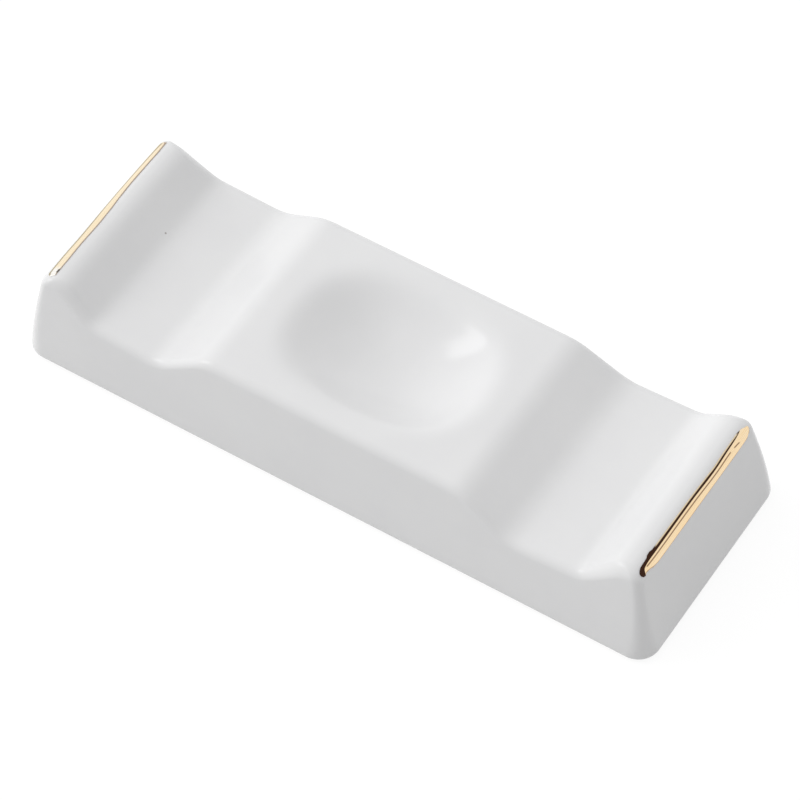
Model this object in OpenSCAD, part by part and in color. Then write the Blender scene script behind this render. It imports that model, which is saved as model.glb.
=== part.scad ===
// Glazed porcelain rest for chopsticks and a spoon. A block with drafted walls carries a ridge
// along each end, a trough inside each ridge, and a raised middle with an oval dish.
// A line of fired gold follows each ridge. The underside is hollow and stands on a bare rim.
// +X runs along the rest, +Y across it, +Z up, and the origin is at the middle of the foot.

/* [Overall] */
// Length over the foot of the end walls
body_l = 100; // [84:1:140]
// Width over the foot of the side walls
body_w = 34.3; // [29:0.1:60]

/* [Top profile] */
// Height of the raised middle above the table
plateau_h = 15; // [13.4:0.1:18]
// Length of the raised middle between its two corners, before they are rounded
plateau_l = 40.5; // [30:0.5:48]
// Run of the slope from the raised middle down to the trough
flank_run = 7.45; // [5:0.05:10]
// Height of the trough floor at the foot of that slope
trough_h = 10.4; // [8.4:0.1:12.2]
// Rise of the trough floor from there to the foot of the ridge
trough_rise = 0.65; // [0:0.05:1.2]
// Height of the ridges
ridge_h = 15.7; // [14.5:0.1:18.5]
// Slope of a ridge's inner side, in degrees
ridge_slope = 43; // [34:1:50]
// Rounding where the raised middle turns down
plateau_r = 6; // [1:0.1:8]
// Hollow rounding at the foot of the slope
flank_foot_r = 5.9; // [1:0.1:8]
// Hollow rounding at the foot of the ridge
ridge_foot_r = 2.7; // [1:0.1:6]
// Rounding of the crest towards the trough
crest_in_r = 4.4; // [2:0.1:6]
// Rounding of the crest towards the end wall
crest_r = 2.4; // [2:0.1:3]

/* [Walls] */
// Draft of the side walls, in degrees
side_draft = 10; // [4:0.5:14]
// Draft of the end walls, in degrees
end_draft = 11.5; // [4:0.5:16]
// Rounding of the long top edges
edge_r = 1.5; // [1:0.1:4]
// Corner radius in plan at the foot
corner_base_r = 3.6; // [2.5:0.1:6]
// Corner radius in plan where the walls reach the height of the raised middle
corner_wall_r = 1.3; // [1:0.1:3]
// How quickly the corner tightens from the foot upwards: 1 is evenly, more is sooner
corner_fade = 2.5; // [1:0.1:4]
// How much the corner tightens over the rounding of the top edges
corner_tighten = 0.5; // [0.2:0.1:0.9]
// Rounding of the lower edge
foot_r = 1; // [0.7:0.1:1.5]

/* [Dish] */
// Length of the dish over its rim
dish_l = 32; // [20:0.5:36]
// Width of the dish over its rim
dish_w = 24; // [14:0.2:24]
// Depth of the dish
dish_depth = 5.4; // [1:0.1:6]
// Share of the way to the rim at which the bowl is steepest
dish_bowl = 0.83; // [0.5:0.01:0.9]
// Share of its size by which the rim stands out at the four corners of the oval
dish_bulge = 0.07; // [0:0.01:0.12]

/* [Underside] */
// Width of the flat rim that stands on the table
rim_w = 4.2; // [3:0.1:6]
// Depth of the hollow
recess_depth = 5.5; // [3:0.1:6]
// Draft of the hollow's walls, in degrees
recess_draft = 10; // [2:1:20]
// Corner radius of the hollow at its mouth
recess_corner_r = 4; // [3:0.1:6]
// Rounding between the hollow's walls and its ceiling
recess_edge_r = 2; // [1:0.1:2.5]

/* [Coats] */
// Thickness of the glaze on the outside
glaze_t = 0.3; // [0.15:0.05:0.5]
// How far the glaze turns under the lower edge, in degrees past upright
glaze_turn = 45; // [10:1:60]
// Thickness of the glaze in the hollow
recess_glaze_t = 0.25; // [0.15:0.05:0.5]
// Height of the bare band at the hollow's mouth
recess_bare = 1; // [0.5:0.1:2]
// Thickness of the gilt lines
gilt_t = 0.12; // [0.05:0.01:0.25]
// Width of the gilt lines, measured round the crest
gilt_w = 1.6; // [0.6:0.1:2.2]
// Angle from the top of the left crest down its outer side to its gilt line
gilt_drop_left = 11; // [2:1:40]
// The same angle on the right crest
gilt_drop_right = 29; // [2:1:40]
// Angle by which each gilt line turns round the corners, in degrees
gilt_wrap = 32; // [15:1:60]
// Unevenness of the hand-drawn gilt edges
gilt_wobble = 0.06; // [0:0.01:0.12]

/* [Hidden] */

clay_colour = "#efece4";
glaze_colour = "#f6f6f7";
gilt_colour = "#d8b069";

// Steps from the middle to the corner, round the corner, and across half the top
side_steps = 26;
corner_steps = 5;
half_rows = 8;
// Steps over the rounding of the top edges, down the walls, under the lower edge, and round the
// hollow's edges
edge_steps = 5;
wall_steps = 4;
foot_steps = 2;
recess_steps = 4;
// Steps along the straight part of a gilt line, round each of its turns, and across it
gilt_steps = 36;
gilt_turn_steps = 5;
gilt_rows = 4;
// Gap under a gilt line that keeps it clear of the flats that the glaze is drawn with
gilt_gap = 0.02;
// Share of a gilt line's width that is left at its blunt tips
gilt_tip = 0.3;
// Waves of a gilt edge: share of the unevenness, degrees per millimetre, and multiple of the phase
gilt_waves = [[1, 31, 1], [0.6, 77, 2], [0.4, 140, 0]];
// Phases of the two lines' upper edges, and how far their lower edges are behind
gilt_phase_left = 40;
gilt_phase_right = 0;
gilt_phase_lower = 130;

// Half sizes at which the drafted walls would meet the table if the lower edge were sharp
wall_x = body_l / 2 + foot_r * (tan(end_draft) + 1 / cos(end_draft) - 1);
wall_y = body_w / 2 + foot_r * (tan(side_draft) + 1 / cos(side_draft) - 1);

// Centre of the crest's rounding, and the corners of the ridge before they are rounded
crest_z = ridge_h - crest_r;
crest_x = wall_x - crest_z * tan(end_draft) - crest_r / cos(end_draft);
ridge_top_x = crest_x - crest_in_r * tan(ridge_slope / 2);
ridge_foot_h = trough_h + trough_rise;
ridge_foot_x = ridge_top_x - (ridge_h - ridge_foot_h) / tan(ridge_slope);

// Corners of the top profile from the middle outwards, and their roundings
profile_line = [
    [0, plateau_h],
    [plateau_l / 2, plateau_h],
    [plateau_l / 2 + flank_run, trough_h],
    [ridge_foot_x, ridge_foot_h],
    [ridge_top_x, ridge_h],
    [2 * crest_x - ridge_top_x, ridge_h],
];
profile_rounding = [plateau_r, flank_foot_r, ridge_foot_r, crest_in_r];

function stretch(k) = profile_line[k + 1] - profile_line[k];
function slope_angle(k) = atan2(stretch(k).y, stretch(k).x);
function along(angle) = [cos(angle), sin(angle)];

// One arc per corner: where it starts and ends along x, its centre, its radius, and whether it
// is a hollow (1) or a crown (-1). Half of each straight stretch is the most that an arc takes.
profile_arcs = [
    for (k = [1 : len(profile_rounding)])
        let (
            before = slope_angle(k - 1),
            after = slope_angle(k),
            half_turn = tan(abs(after - before) / 2),
            room = min(norm(stretch(k - 1)), norm(stretch(k))) / 2,
            radius = min(profile_rounding[k - 1], room / half_turn),
            start = profile_line[k] - radius * half_turn * along(before),
            end = profile_line[k] + radius * half_turn * along(after),
            side = sign(after - before)
        )
        [start.x, end.x, start + side * radius * along(before + 90), radius, side]
];

// Height of the top along its middle line, without the dish
function profile(x) =
    let (hit = [for (arc = profile_arcs) if (x > arc[0] && x < arc[1]) arc])
    len(hit) == 0
        ? lookup(x, profile_line)
        : hit[0][2].y - hit[0][4] * sqrt(pow(hit[0][3], 2) - pow(x - hit[0][2].x, 2));

// How far out a point of the top lies in the dish, from 0 in the middle to 1 at the rim
function dish_reach(x, y) =
    let (
        p = [2 * x / dish_l, 2 * y / dish_w],
        corner = norm(p) == 0 ? 0 : 2 * p.x * p.y / (p * p)
    )
    norm(p) * (1 - dish_bulge * corner * corner);

// Depth of the dish at a point of the top: a bowl that turns smoothly into its rim
function dish(x, y) =
    let (reach = dish_reach(x, y))
    reach >= 1 ? 0
    : reach > dish_bowl ? dish_depth * pow(1 - reach, 2) / (1 - dish_bowl)
    : dish_depth * (1 - pow(reach, 2) / dish_bowl);

// Depth of the dish where it runs out over a long edge, which is nothing while it fits on the top
function dish_at_edge(x) =
    dish(x, wall_y - (profile(x) - edge_r) * tan(side_draft) - edge_r / cos(side_draft));

// Columns of a quarter of the surface, each with its x on the top and its angle round the corner.
// Past hold_x they spread so that the ridge follows the drafted end wall.
straight_x = crest_x - corner_wall_r + corner_tighten;
hold_x = ridge_foot_x - ridge_foot_r / 2;
columns = concat(
    [for (i = [0 : side_steps]) [straight_x * i / side_steps, 0]],
    [for (i = [1 : corner_steps]) corner_column(90 * i / corner_steps)]
);
function corner_column(phi) = [straight_x + (crest_x - straight_x) * sin(phi), phi];

// Stations down a column: the zone that it lies in, how far through it, and a set height.
// Round the foot, 0 is where the wall ends, 1 the widest place and 2 the edge of the glaze.
EDGE = "edge";
WALL = "wall";
FOOT = "foot";
edge_stations = [for (i = [1 : edge_steps]) [EDGE, i / edge_steps]];
wall_stations = [for (i = [1 : wall_steps - 1]) [WALL, i / wall_steps]];
foot_stations = concat([[FOOT, 0]], [for (i = [0 : foot_steps]) [FOOT, 1 + i / foot_steps]]);
coat_stations = concat(edge_stations, wall_stations, foot_stations);
crest_station = [EDGE, 0];
floor_station = [FOOT, 2, 0];

// A point of the skin in the quarter where x and y are positive. The skin grows outwards by g.
function skin_point(column, station, g) =
    let (
        x = column[0],
        phi = column[1],
        zone = station[0],
        share = station[1],
        endwise = pow(sin(phi), 2),
        draft = side_draft + (end_draft - side_draft) * endwise,
        foot_roll = g + foot_r,
        edge_roll = g + edge_r + (crest_r - edge_r) * endwise,
        edge_z = profile(x) + g - dish_at_edge(x) - edge_roll,
        wall_top = edge_z + edge_roll * sin(draft),
        wall_foot = foot_r + foot_roll * sin(draft),
        roll = zone == FOOT ? foot_roll : edge_roll,
        centre_z = zone == FOOT ? foot_r : edge_z,
        turn = zone == EDGE ? (90 - draft) * share
            : zone == WALL ? 90 - draft
            : 90 + (share < 1 ? draft : glaze_turn) * (share - 1),
        wall_z = zone == EDGE ? wall_top
            : zone == WALL ? wall_top + (wall_foot - wall_top) * share
            : wall_foot,
        back = cos(draft) - sin(turn),
        back_x = back * (zone == FOOT ? foot_roll : g + crest_r),
        back_y = back * (zone == FOOT ? foot_roll : g + edge_r),
        corner = g + corner_wall_r
            + (corner_base_r - corner_wall_r) * pow(max(0, 1 - wall_z / plateau_h), corner_fade)
            - corner_tighten * back / cos(draft),
        reach_x = wall_x + g / cos(end_draft) - wall_z * tan(end_draft) - back_x - corner,
        reach_y = wall_y + g / cos(side_draft) - wall_z * tan(side_draft) - back_y - corner,
        spread = (reach_x - hold_x) / (straight_x - hold_x)
    )
    [
        phi > 0 ? reach_x + corner * sin(phi) : x < hold_x ? x : hold_x + (x - hold_x) * spread,
        reach_y + corner * cos(phi),
        !is_undef(station[2]) ? station[2] : zone == WALL ? wall_z : centre_z + roll * cos(turn)
    ];

// The top is a grid of columns and rows, and its outer edge is carried down in rings
half_cols = side_steps + corner_steps;
cols = 2 * half_cols;
rows = 2 * half_rows;
rim = concat(
    [for (i = [0 : cols]) [i, 0]],
    [for (j = [1 : rows]) [cols, j]],
    [for (i = [cols - 1 : -1 : 0]) [i, rows]],
    [for (j = [rows - 1 : -1 : 1]) [0, j]]
);

function place(i, j, station, g) =
    let (p = skin_point(columns[abs(i - half_cols)], station, g))
    [sign(i - half_cols) * p.x, (j / half_rows - 1) * p.y, p.z];

function top_place(i, j, g) =
    let (p = place(i, j, crest_station, g))
    [p.x, p.y, p.z + dish_at_edge(abs(p.x)) - dish(p.x, p.y)];

function skin_points(stations, g) = concat(
    [for (i = [0 : cols]) for (j = [0 : rows]) top_place(i, j, g)],
    [for (station = stations) for (p = rim) place(p[0], p[1], station, g)]
);

function skin_size(stations) = (cols + 1) * (rows + 1) + len(stations) * len(rim);

// Index of a grid point, and of a point of ring k, where ring 0 is the grid's own edge
function grid_index(i, j) = i * (rows + 1) + j;
function ring_index(k, m) =
    let (n = m % len(rim))
    k == 0 ? grid_index(rim[n][0], rim[n][1]) : (cols + 1) * (rows + 1) + (k - 1) * len(rim) + n;

// Two triangles for a four-sided cell, whose corners run clockwise as seen from outside
function cell(a, b, c, d) = [[a, b, c], [a, c, d]];

function skin_faces(stations) = concat(
    [for (i = [0 : cols - 1]) for (j = [0 : rows - 1])
        each cell(grid_index(i, j), grid_index(i, j + 1), grid_index(i + 1, j + 1), grid_index(i + 1, j))],
    [for (k = [0 : len(stations) - 1]) for (m = [0 : len(rim) - 1])
        each cell(ring_index(k, m), ring_index(k, m + 1), ring_index(k + 1, m + 1), ring_index(k + 1, m))]
);

// Faces of an inner surface, turned to face inwards and numbered after the outer one
function turned(faces, first) = [for (f = faces) [f[2] + first, f[1] + first, f[0] + first]];

// Mouth of the hollow: the foot of the clay less the rim
function foot_half(size) = size / 2 - foot_r + (foot_r - glaze_t) * cos(glaze_turn);
mouth_x = foot_half(body_l) - rim_w;
mouth_y = foot_half(body_w) - rim_w;
recess_arc = [for (i = [0 : recess_steps]) (90 - recess_draft) * (1 - i / recess_steps)];
corner_run = corner_steps + 1;
recess_ring = 4 * corner_run;

// Rings of the hollow's surface: one at a set height, then those of the rounding up to the ceiling
function recess_outline(inset, z, g) =
    let (corner = recess_corner_r + g - inset)
    [for (q = [0 : 3]) for (i = [0 : corner_steps])
        let (angle = 180 + 90 * (q + i / corner_steps))
        [
            (q == 1 || q == 2 ? 1 : -1) * (mouth_x + g - inset - corner) + corner * cos(angle),
            (q > 1 ? 1 : -1) * (mouth_y + g - inset - corner) + corner * sin(angle),
            z
        ]];

function recess_points(lowest, g) =
    let (
        roll = recess_edge_r + g,
        centre_z = recess_depth - recess_edge_r,
        wall_z = centre_z + roll * sin(recess_draft)
    )
    concat(
        recess_outline(lowest * tan(recess_draft), lowest, g),
        [for (turn = recess_arc)
            each recess_outline(wall_z * tan(recess_draft) + roll * (cos(recess_draft) - sin(turn)),
                centre_z + roll * cos(turn), g)]
    );

// Faces of the hollow's shape seen from outside, each ring above the last, closed by the ceiling
function recess_faces() = concat(
    [for (k = [0 : recess_steps]) for (m = [0 : recess_ring - 1])
        let (next = (m + 1) % recess_ring)
        each cell(k * recess_ring + m, (k + 1) * recess_ring + m,
            (k + 1) * recess_ring + next, k * recess_ring + next)],
    [for (m = [1 : recess_ring - 2])
        let (first = (recess_steps + 1) * recess_ring)
        [first, first + m + 1, first + m]]
);

// The point of the hollow's mouth that each point of the foot's outline looks across the rim to:
// corner to corner, with one change over half way along each side and each end
function mouth_step(i) = i < half_cols ? min(i, corner_steps) : corner_run + max(0, i - cols + corner_steps);
mouth_steps = concat(
    [for (i = [0 : cols]) mouth_step(i)],
    [for (j = [1 : rows]) 2 * corner_run - (j < half_rows ? 1 : 0)],
    [for (i = [1 : cols]) 2 * corner_run + mouth_step(i)],
    [for (j = [1 : rows]) 4 * corner_run - (j < half_rows ? 1 : 0)]
);

// Faces of the flat rim between ring k of the skin and the mouth, whose points start at first
function rim_faces(k, first) = [
    for (m = [0 : len(rim) - 1])
        let (
            outer = ring_index(k, m + 1),
            here = first + mouth_steps[m] % recess_ring,
            next = first + mouth_steps[m + 1] % recess_ring
        )
        each concat([[ring_index(k, m), outer, here]], here == next ? [] : [[outer, next, here]])
];

module porcelain_body() {
    stations = concat(coat_stations, [floor_station]);
    first = skin_size(stations);
    color(clay_colour)
    polyhedron(
        points = concat(skin_points(stations, -glaze_t), recess_points(0, 0)),
        faces = concat(
            skin_faces(stations),
            rim_faces(len(stations), first),
            turned(recess_faces(), first)
        )
    );
}

module outer_glaze() {
    inner = skin_size(coat_stations);
    last = len(coat_stations);
    color(glaze_colour)
    polyhedron(
        points = concat(skin_points(coat_stations, 0), skin_points(coat_stations, -glaze_t)),
        faces = concat(
            skin_faces(coat_stations),
            turned(skin_faces(coat_stations), inner),
            [for (m = [0 : len(rim) - 1])
                each cell(ring_index(last, m), ring_index(last, m + 1),
                    ring_index(last, m + 1) + inner, ring_index(last, m) + inner)]
        )
    );
}

module recess_glaze() {
    inner = (recess_steps + 2) * recess_ring;
    color(glaze_colour)
    polyhedron(
        points = concat(recess_points(recess_bare, 0), recess_points(recess_bare, -recess_glaze_t)),
        faces = concat(
            recess_faces(),
            turned(recess_faces(), inner),
            [for (m = [0 : recess_ring - 1])
                let (next = (m + 1) % recess_ring)
                each cell(m, next, next + inner, m + inner)]
        )
    );
}

// Half length of the straight part of a gilt line, and of the whole line with its turns
gilt_straight = skin_point(corner_column(90), crest_station, 0).y;
gilt_turn = gilt_wrap * corner_wall_r * PI / 180;
gilt_half = gilt_straight + gilt_turn;
gilt_angle = gilt_w / crest_r * 180 / PI;

// Distances along a gilt line from its middle at which it is drawn
gilt_stops = concat(
    [for (i = [gilt_turn_steps : -1 : 1]) -gilt_straight - gilt_turn * i / gilt_turn_steps],
    [for (i = [0 : gilt_steps]) gilt_straight * (2 * i / gilt_steps - 1)],
    [for (i = [1 : gilt_turn_steps]) gilt_straight + gilt_turn * i / gilt_turn_steps]
);
gilt_last = len(gilt_stops) - 1;

// Uneven offset of a gilt edge at a distance along the line, in degrees round the crest
function wobble(distance, phase) =
    let (waves = [for (w = gilt_waves) w[0] * sin(w[1] * distance + w[2] * phase)])
    gilt_wobble / crest_r * 180 / PI * waves * [for (w = gilt_waves) 1];

// Share of the full width at a distance along the line, which rounds off at the tips
function gilt_share(distance) =
    let (past = max(0, abs(distance) - gilt_half + gilt_w) / gilt_w)
    max(gilt_tip, sqrt(1 - pow(past, 2)));

// A point of the gilt on the right end, at a distance along it and with v from 0 to 1 across it
function gilt_point(distance, v, drop, phase, g) =
    let (
        past = max(0, abs(distance) - gilt_straight),
        phi = 90 - past / gilt_turn * gilt_wrap,
        upper = drop + wobble(distance, phase),
        lower = drop + gilt_angle + wobble(distance, phase + gilt_phase_lower),
        turn = (upper + lower) / 2 + (v - 0.5) * (lower - upper) * gilt_share(distance),
        column = corner_column(phi),
        wall_turn = 90 - end_draft,
        wall = skin_point(column, [FOOT, 0], g) - skin_point(column, [EDGE, 1], g),
        down_wall = crest_r * max(0, turn - wall_turn) * PI / 180,
        p = skin_point(column, [EDGE, min(1, turn / wall_turn)], g) + down_wall * wall / norm(wall)
    )
    [p.x, past > 0 ? sign(distance) * p.y : p.y * distance / gilt_straight, p.z];

function gilt_index(i, j) = i * (gilt_rows + 1) + j;

function gilt_sheet() = [
    for (i = [0 : gilt_last - 1]) for (j = [0 : gilt_rows - 1])
        each cell(gilt_index(i, j), gilt_index(i + 1, j), gilt_index(i + 1, j + 1), gilt_index(i, j + 1))
];

// Edge of the sheet in the order that closes it towards the glaze
gilt_edge = concat(
    [for (i = [0 : gilt_last]) gilt_index(i, 0)],
    [for (j = [1 : gilt_rows]) gilt_index(gilt_last, j)],
    [for (i = [gilt_last - 1 : -1 : 0]) gilt_index(i, gilt_rows)],
    [for (j = [gilt_rows - 1 : -1 : 1]) gilt_index(0, j)]
);

module gilt_line(drop, phase) {
    inner = len(gilt_stops) * (gilt_rows + 1);
    count = len(gilt_edge);
    color(gilt_colour)
    polyhedron(
        points = [for (g = [gilt_t, gilt_gap]) for (distance = gilt_stops) for (j = [0 : gilt_rows])
            gilt_point(distance, j / gilt_rows, drop, phase, g)],
        faces = concat(
            gilt_sheet(),
            turned(gilt_sheet(), inner),
            [for (m = [0 : count - 1])
                each cell(gilt_edge[(m + 1) % count], gilt_edge[m],
                    gilt_edge[m] + inner, gilt_edge[(m + 1) % count] + inner)]
        )
    );
}

module gilt_line_left() {
    mirror([1, 0, 0]) gilt_line(gilt_drop_left, gilt_phase_left);
}

module gilt_line_right() {
    gilt_line(gilt_drop_right, gilt_phase_right);
}

porcelain_body();
outer_glaze();
recess_glaze();
gilt_line_left();
gilt_line_right();
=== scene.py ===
"""Glazed porcelain rest for chopsticks and a spoon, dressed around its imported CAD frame.

The clay, its two glaze coats and its two gilt lines are closed meshes in the CAD frame: +X along the
rest, +Y across it, +Z up, in metres, with the origin at the middle of the foot.
"""

import logging
import math
from bisect import bisect_right
from collections.abc import Callable, Iterable, Mapping, Sequence
from dataclasses import dataclass
from enum import Enum
from functools import cached_property, partial
from typing import Any

import bmesh
import bpy
from bmesh.types import BMEdge, BMesh, BMVert
from bpy.types import Material, Node, NodeSocket, NodeTree
from mathutils import Matrix, Vector


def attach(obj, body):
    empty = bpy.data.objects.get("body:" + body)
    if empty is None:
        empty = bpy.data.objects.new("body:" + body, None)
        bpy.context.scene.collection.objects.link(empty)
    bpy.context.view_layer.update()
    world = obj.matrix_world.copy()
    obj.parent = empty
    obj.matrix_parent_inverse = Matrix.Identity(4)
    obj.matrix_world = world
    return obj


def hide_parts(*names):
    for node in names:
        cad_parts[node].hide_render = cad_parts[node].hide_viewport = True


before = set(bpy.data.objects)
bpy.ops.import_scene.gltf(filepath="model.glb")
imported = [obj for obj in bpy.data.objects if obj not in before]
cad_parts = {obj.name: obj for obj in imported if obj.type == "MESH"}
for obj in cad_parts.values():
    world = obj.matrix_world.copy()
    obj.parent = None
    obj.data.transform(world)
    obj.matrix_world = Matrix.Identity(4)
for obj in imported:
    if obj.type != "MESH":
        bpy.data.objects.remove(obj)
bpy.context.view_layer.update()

LOG = logging.getLogger("rest")
MM = 0.001
BODY = "root"


def sind(angle: float) -> float:
    """Give the sine of an angle in degrees."""
    return math.sin(math.radians(angle))


def cosd(angle: float) -> float:
    """Give the cosine of an angle in degrees."""
    return math.cos(math.radians(angle))


def tand(angle: float) -> float:
    """Give the tangent of an angle in degrees."""
    return math.tan(math.radians(angle))


class Zone(Enum):
    """Part of the outside that a station lies on."""

    EDGE = "top edge"
    WALL = "wall"
    FOOT = "lower edge"


class Side(Enum):
    """End of the rest, as the sign of its x."""

    LEFT = -1
    RIGHT = 1


@dataclass(frozen=True)
class Station:
    """How far down the outside a place lies.

    Over the top edge the share runs from 0 at the top to 1 at the wall, and down the wall from 0 to 1.
    Round the lower edge it is 0 at the wall, 1 at the widest place and 2 where the glaze ends.
    """

    zone: Zone
    share: float


@dataclass(frozen=True)
class Column:
    """Where a place lies round a quarter of the outline: its x on the top and its angle round the corner."""

    x: float
    phi: float = 0.0


@dataclass(frozen=True)
class Level:
    """Where a station lies: its own height, and its turn back from the wall over an edge.

    It turns back from the wall's place at the height wall_z, by a share of the edge's rounding: roll_x at
    the ends and roll_y at the sides.
    """

    height: float
    wall_z: float
    back: float
    roll_x: float
    roll_y: float


@dataclass(frozen=True)
class Arc:
    """A rounded corner of the top profile: its run along x and its circle, hollow (1) or crowned (-1)."""

    start: float
    end: float
    centre_x: float
    centre_z: float
    radius: float
    hollow: float

    def height(self, x: float) -> float:
        """Give the height of the arc at x."""
        return self.centre_z - self.hollow * math.sqrt(self.radius**2 - (x - self.centre_x) ** 2)


# Gives the place of each column on a ring.
Place = Callable[[Column], Vector]
# Samples that ease a drawn shape: the steps away from the middle one, and the share of each.
EASING = ((-2, 1 / 16), (-1, 1 / 4), (0, 3 / 8), (1, 1 / 4), (2, 1 / 16))


@dataclass(frozen=True)
class RestForm:
    """Sizes of the rest, in metres and degrees, and the surfaces that follow from them.

    Surfaces are worked out for the quarter where x and y are positive. A growth moves a surface along
    its own normals: 0 is the outside of the glaze.

    The dish is a bowl out to a share of its half width, dish_bowl, and a rim beyond it, and dish_bulge
    squares its outline a little. Up the wall the upright corners tighten from corner_base_r to
    corner_wall_r, the sooner the higher corner_fade is, and by corner_tighten more over the top edge.
    """

    body_l: float = 100 * MM
    body_w: float = 34.3 * MM
    plateau_h: float = 15 * MM
    plateau_l: float = 40.5 * MM
    flank_run: float = 7.45 * MM
    trough_h: float = 10.4 * MM
    trough_rise: float = 0.65 * MM
    ridge_h: float = 15.7 * MM
    ridge_slope: float = 43.0
    plateau_r: float = 6 * MM
    flank_foot_r: float = 5.9 * MM
    ridge_foot_r: float = 2.7 * MM
    crest_in_r: float = 4.4 * MM
    crest_r: float = 2.4 * MM
    profile_ease: float = 0.3 * MM
    side_draft: float = 10.0
    end_draft: float = 11.5
    edge_r: float = 1.5 * MM
    corner_base_r: float = 3.6 * MM
    corner_wall_r: float = 1.3 * MM
    corner_fade: float = 2.5
    corner_tighten: float = 0.5 * MM
    foot_r: float = 1 * MM
    dish_l: float = 32 * MM
    dish_w: float = 24 * MM
    dish_depth: float = 5.4 * MM
    dish_bowl: float = 0.83
    dish_bulge: float = 0.07
    dish_ease: float = 1 * MM
    rim_w: float = 4.2 * MM
    recess_depth: float = 5.5 * MM
    recess_draft: float = 10.0
    recess_corner_r: float = 4 * MM
    recess_edge_r: float = 2 * MM
    glaze_t: float = 0.3 * MM
    glaze_turn: float = 45.0
    recess_glaze_t: float = 0.25 * MM
    recess_bare: float = 1 * MM

    def foot_spread(self, draft: float) -> float:
        """Give how far outside the lower edge's rounding a wall would meet the table."""
        return self.foot_r * (tand(draft) + 1 / cosd(draft) - 1)

    @cached_property
    def wall_x(self) -> float:
        """Half length at which the end walls would meet the table if the lower edge were sharp."""
        return self.body_l / 2 + self.foot_spread(self.end_draft)

    @cached_property
    def wall_y(self) -> float:
        """Half width at which the side walls would meet the table if the lower edge were sharp."""
        return self.body_w / 2 + self.foot_spread(self.side_draft)

    @cached_property
    def crest_x(self) -> float:
        """Distance of the top of each crest from the middle."""
        centre_z = self.ridge_h - self.crest_r
        return self.wall_x - centre_z * tand(self.end_draft) - self.crest_r / cosd(self.end_draft)

    @cached_property
    def ridge_top_x(self) -> float:
        """Distance of the sharp inner corner of a ridge's top from the middle."""
        return self.crest_x - self.crest_in_r * tand(self.ridge_slope / 2)

    @cached_property
    def ridge_foot_x(self) -> float:
        """Distance of the sharp foot of a ridge from the middle."""
        rise = self.ridge_h - self.trough_h - self.trough_rise
        return self.ridge_top_x - rise / tand(self.ridge_slope)

    @cached_property
    def straight_x(self) -> float:
        """Distance from the middle at which the corners begin."""
        return self.crest_x - self.corner_wall_r + self.corner_tighten

    @cached_property
    def hold_x(self) -> float:
        """Distance from the middle past which the columns spread to follow the end walls."""
        return self.ridge_foot_x - self.ridge_foot_r / 2

    @cached_property
    def mouth(self) -> Vector:
        """Half length and half width of the hollow at its mouth."""
        inset = self.foot_r - (self.foot_r - self.glaze_t) * cosd(self.glaze_turn) + self.rim_w
        return Vector((self.body_l / 2 - inset, self.body_w / 2 - inset))

    @cached_property
    def profile_line(self) -> list[Vector]:
        """Sharp corners of the top profile.

        Returns:
            Their places along x and up, from the middle outwards.
        """
        return [
            Vector((0.0, self.plateau_h)),
            Vector((self.plateau_l / 2, self.plateau_h)),
            Vector((self.plateau_l / 2 + self.flank_run, self.trough_h)),
            Vector((self.ridge_foot_x, self.trough_h + self.trough_rise)),
            Vector((self.ridge_top_x, self.ridge_h)),
            Vector((2 * self.crest_x - self.ridge_top_x, self.ridge_h)),
        ]

    @cached_property
    def arcs(self) -> list[Arc]:
        """Roundings of the profile's corners. Each takes at most half of a straight stretch.

        Returns:
            One arc for each corner, from the middle outwards.
        """
        line = self.profile_line
        radii = (self.plateau_r, self.flank_foot_r, self.ridge_foot_r, self.crest_in_r)
        arcs = []
        for before, corner, after, wished in zip(line, line[1:], line[2:], radii):
            down, up = corner - before, after - corner
            turn = math.atan2(up.y, up.x) - math.atan2(down.y, down.x)
            half_turn = math.tan(abs(turn) / 2)
            radius = min(wished, min(down.length, up.length) / 2 / half_turn)
            hollow = math.copysign(1.0, turn)
            along = down.normalized()
            start = corner - radius * half_turn * along
            end = corner + radius * half_turn * up.normalized()
            centre = start + hollow * radius * Vector((-along.y, along.x))
            arcs.append(Arc(start.x, end.x, centre.x, centre.y, radius, hollow))
        return arcs

    def sharp_profile(self, x: float) -> float:
        """Give the height of the top's middle line as it is drawn, without the dish.

        Args:
            x: Distance from the middle.

        Returns:
            Height above the table.
        """
        for arc in self.arcs:
            if arc.start < x < arc.end:
                return arc.height(x)
        for near, far in zip(self.profile_line, self.profile_line[1:]):
            if x < far.x:
                return near.y + (far.y - near.y) * (x - near.x) / (far.x - near.x)
        return self.ridge_h

    def profile(self, x: float) -> float:
        """Give the height of the top's middle line at x, eased as the glaze flows over its corners."""
        return sum(share * self.sharp_profile(abs(x + self.profile_ease * k)) for k, share in EASING)

    def sharp_dish(self, x: float, y: float) -> float:
        """Give the depth of the dish as it is drawn: a bowl that turns into its rim.

        Args:
            x: Distance from the middle along the rest.
            y: Distance from the middle across the rest.

        Returns:
            Depth below the raised middle.
        """
        spot = Vector((2 * x / self.dish_l, 2 * y / self.dish_w))
        corner = 2 * spot.x * spot.y / (spot.length_squared or 1.0)
        reach = spot.length * (1 - self.dish_bulge * corner**2)
        if reach >= 1:
            return 0.0
        if reach > self.dish_bowl:
            return self.dish_depth * (1 - reach) ** 2 / (1 - self.dish_bowl)
        return self.dish_depth * (1 - reach**2 / self.dish_bowl)

    def dish(self, x: float, y: float) -> float:
        """Give the depth of the dish, eased as the glaze flows over its rim.

        Args:
            x: Distance from the middle along the rest.
            y: Distance from the middle across the rest.

        Returns:
            Depth below the raised middle.
        """
        # Well outside the dish there is nothing to ease.
        if abs(x) > self.dish_l:
            return 0.0
        step = self.dish_ease
        return sum(a * b * self.sharp_dish(x + i * step, y + j * step) for i, a in EASING for j, b in EASING)

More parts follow.
